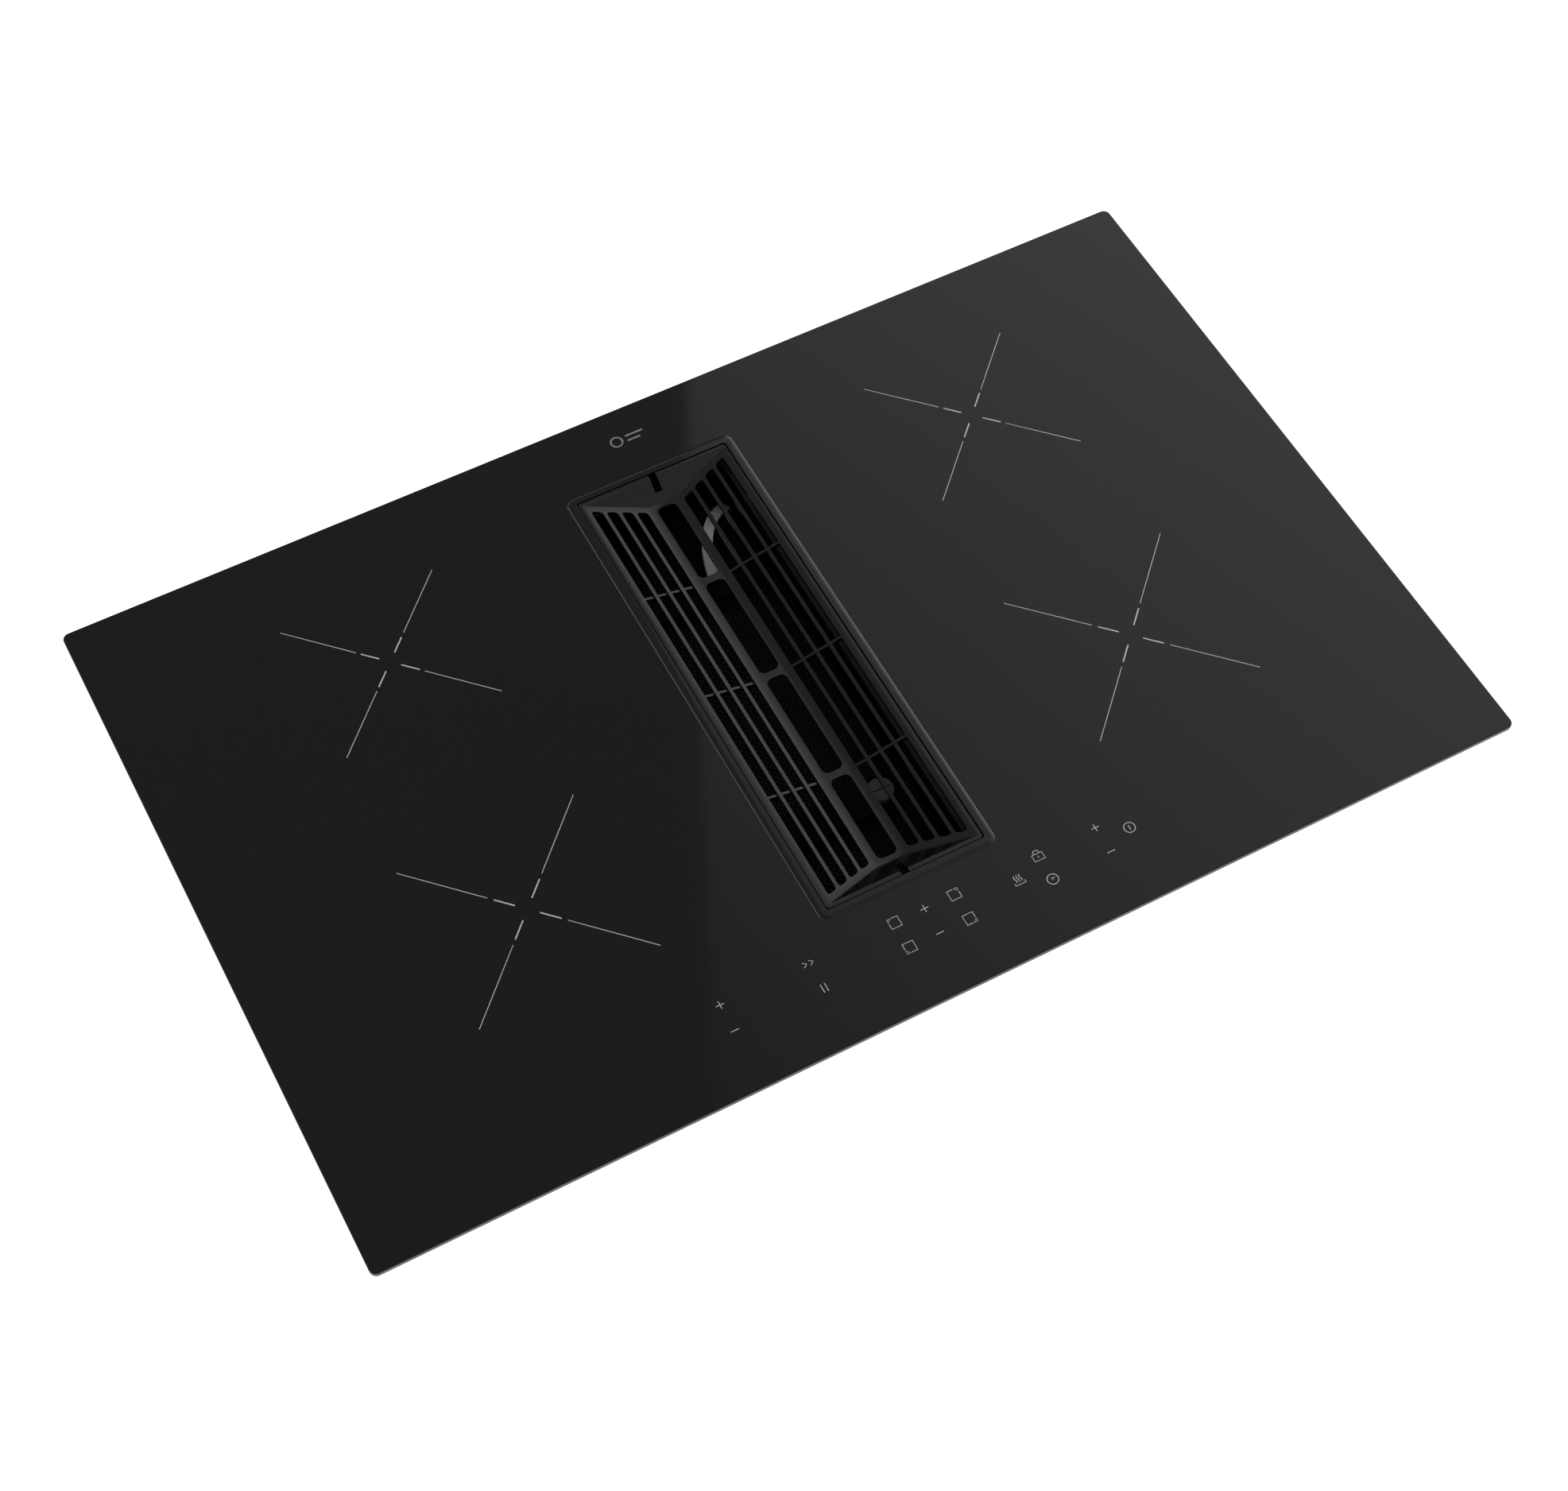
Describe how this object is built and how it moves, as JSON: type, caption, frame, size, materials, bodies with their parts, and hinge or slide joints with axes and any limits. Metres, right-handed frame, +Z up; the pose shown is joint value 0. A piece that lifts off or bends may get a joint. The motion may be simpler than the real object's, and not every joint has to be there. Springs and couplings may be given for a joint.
{
  "type": "induction hob with downdraft extractor",
  "caption": "Frameless black glass induction hob with touch keys and cooking-zone crosses, a lift-out slotted grille and a built-in downdraft extractor below.",
  "frame": {"origin": "middle of the footprint, on the plane that the fan housing's flat underside stands on", "axes": "+X to the user's right along the front edge, +Y to the back, +Z up through the glass"},
  "size_m": [0.83, 0.52, 0.2155],
  "materials": {
    "ceramic_glass": "polished black glass ceramic",
    "foam_seal": "closed-cell foam",
    "coated_black": "satin black coating on die-cast metal",
    "moulded_black": "fine-grained moulding",
    "grey_plastic": "light grey moulding",
    "filter_mesh": "layered expanded metal",
    "galvanised_sheet": "galvanised",
    "aluminium_parts": "mill finish",
    "coil_copper": "lacquered copper litz",
    "coil_carrier": "glass-filled moulding",
    "mica_shield": "flaky mica",
    "circuit_board": "solder mask",
    "bright_steel": "zinc-plated"
  },
  "bodies": {
    "hob": {"air_box": "moulded_black", "base_tray": "galvanised_sheet", "cable_gland": "moulded_black", "clip_screw_front_left": "bright_steel", "clip_screw_front_right": "bright_steel", "clip_screw_rear_left": "bright_steel", "clip_screw_rear_right": "bright_steel", "coil_carrier_front_left": "coil_carrier", "coil_carrier_front_right": "coil_carrier", "coil_carrier_rear_left": "coil_carrier", "coil_carrier_rear_right": "coil_carrier", "coil_front_left": "coil_copper", "coil_front_right": "coil_copper", "coil_rear_left": "coil_copper", "coil_rear_right": "coil_copper", "coil_shelf_left": "aluminium_parts", "coil_shelf_right": "aluminium_parts", "cooling_fan_frame_left": "moulded_black", "cooling_fan_frame_right": "moulded_black", "edge_seal": "foam_seal", "fan_cover": "moulded_black", "fan_motor": "galvanised_sheet", "fan_scroll": "moulded_black", "flap_pin": "bright_steel", "glass_plate": "ceramic_glass", "grille_bezel": "coated_black", "grille_seat": "foam_seal", "heat_shield_front_left": "mica_shield", "heat_shield_front_right": "mica_shield", "heat_shield_rear_left": "mica_shield", "heat_shield_rear_right": "mica_shield", "heat_sink_left": "aluminium_parts", "heat_sink_right": "aluminium_parts", "inlet_ring": "moulded_black", "mounting_clip_front_left": "bright_steel", "mounting_clip_front_right": "bright_steel", "mounting_clip_rear_left": "bright_steel", "mounting_clip_rear_right": "bright_steel", "outlet_collar": "moulded_black", "power_board_left": "circuit_board", "power_board_right": "circuit_board", "temperature_sensor_front_left": "grey_plastic", "temperature_sensor_front_right": "grey_plastic", "temperature_sensor_rear_left": "grey_plastic", "temperature_sensor_rear_right": "grey_plastic", "terminal_block": "grey_plastic", "terminal_cover": "galvanised_sheet", "touch_board": "circuit_board", "touch_board_holder": "moulded_black"},
    "cassette": {"filter_frame": "moulded_black", "filter_mesh": "filter_mesh", "filter_handle": "grey_plastic"},
    "grille": {"air_grille": "coated_black"},
    "lock_knob": {"filter_knob": "grey_plastic"},
    "tank": {"liquid_tank": "moulded_black"},
    "fan_wheel": {"impeller": "grey_plastic", "motor_shaft": "bright_steel"},
    "flap": {"return_flap": "moulded_black"},
    "cooler_left": {"cooling_fan_rotor_left": "moulded_black"},
    "cooler_right": {"cooling_fan_rotor_right": "moulded_black"}
  },
  "joints": [
    {"name": "cassette_lift", "type": "slide", "parent": "hob", "child": "cassette", "axis": [0, 0, 1], "range_m": [0, 0.09]},
    {"name": "grille_lift", "type": "slide", "parent": "cassette", "child": "grille", "axis": [0, 0, 1], "range_m": [0, 0.08]},
    {"name": "knob_turn", "type": "hinge", "parent": "cassette", "child": "lock_knob", "pos_m": [0.0305, -0.0845, 0.1686], "axis": [0, 0, 1], "range_deg": [0, 90]},
    {"name": "tank_slide", "type": "slide", "parent": "hob", "child": "tank", "axis": [0, -1, 0], "range_m": [0, 0.075]},
    {"name": "fan_spin", "type": "hinge", "parent": "hob", "child": "fan_wheel", "pos_m": [0, 0.01, 0.05], "axis": [0, 0, 1], "continuous": true},
    {"name": "flap_swing", "type": "hinge", "parent": "hob", "child": "flap", "pos_m": [0, 0.211, 0.0828], "axis": [1, 0, 0], "range_deg": [0, 75]},
    {"name": "cooler_spin_left", "type": "hinge", "parent": "hob", "child": "cooler_left", "pos_m": [-0.1125, 0.16, 0.17], "axis": [0, 0, 1], "continuous": true},
    {"name": "cooler_spin_right", "type": "hinge", "parent": "hob", "child": "cooler_right", "pos_m": [0.1125, 0.16, 0.17], "axis": [0, 0, 1], "continuous": true}
  ]
}
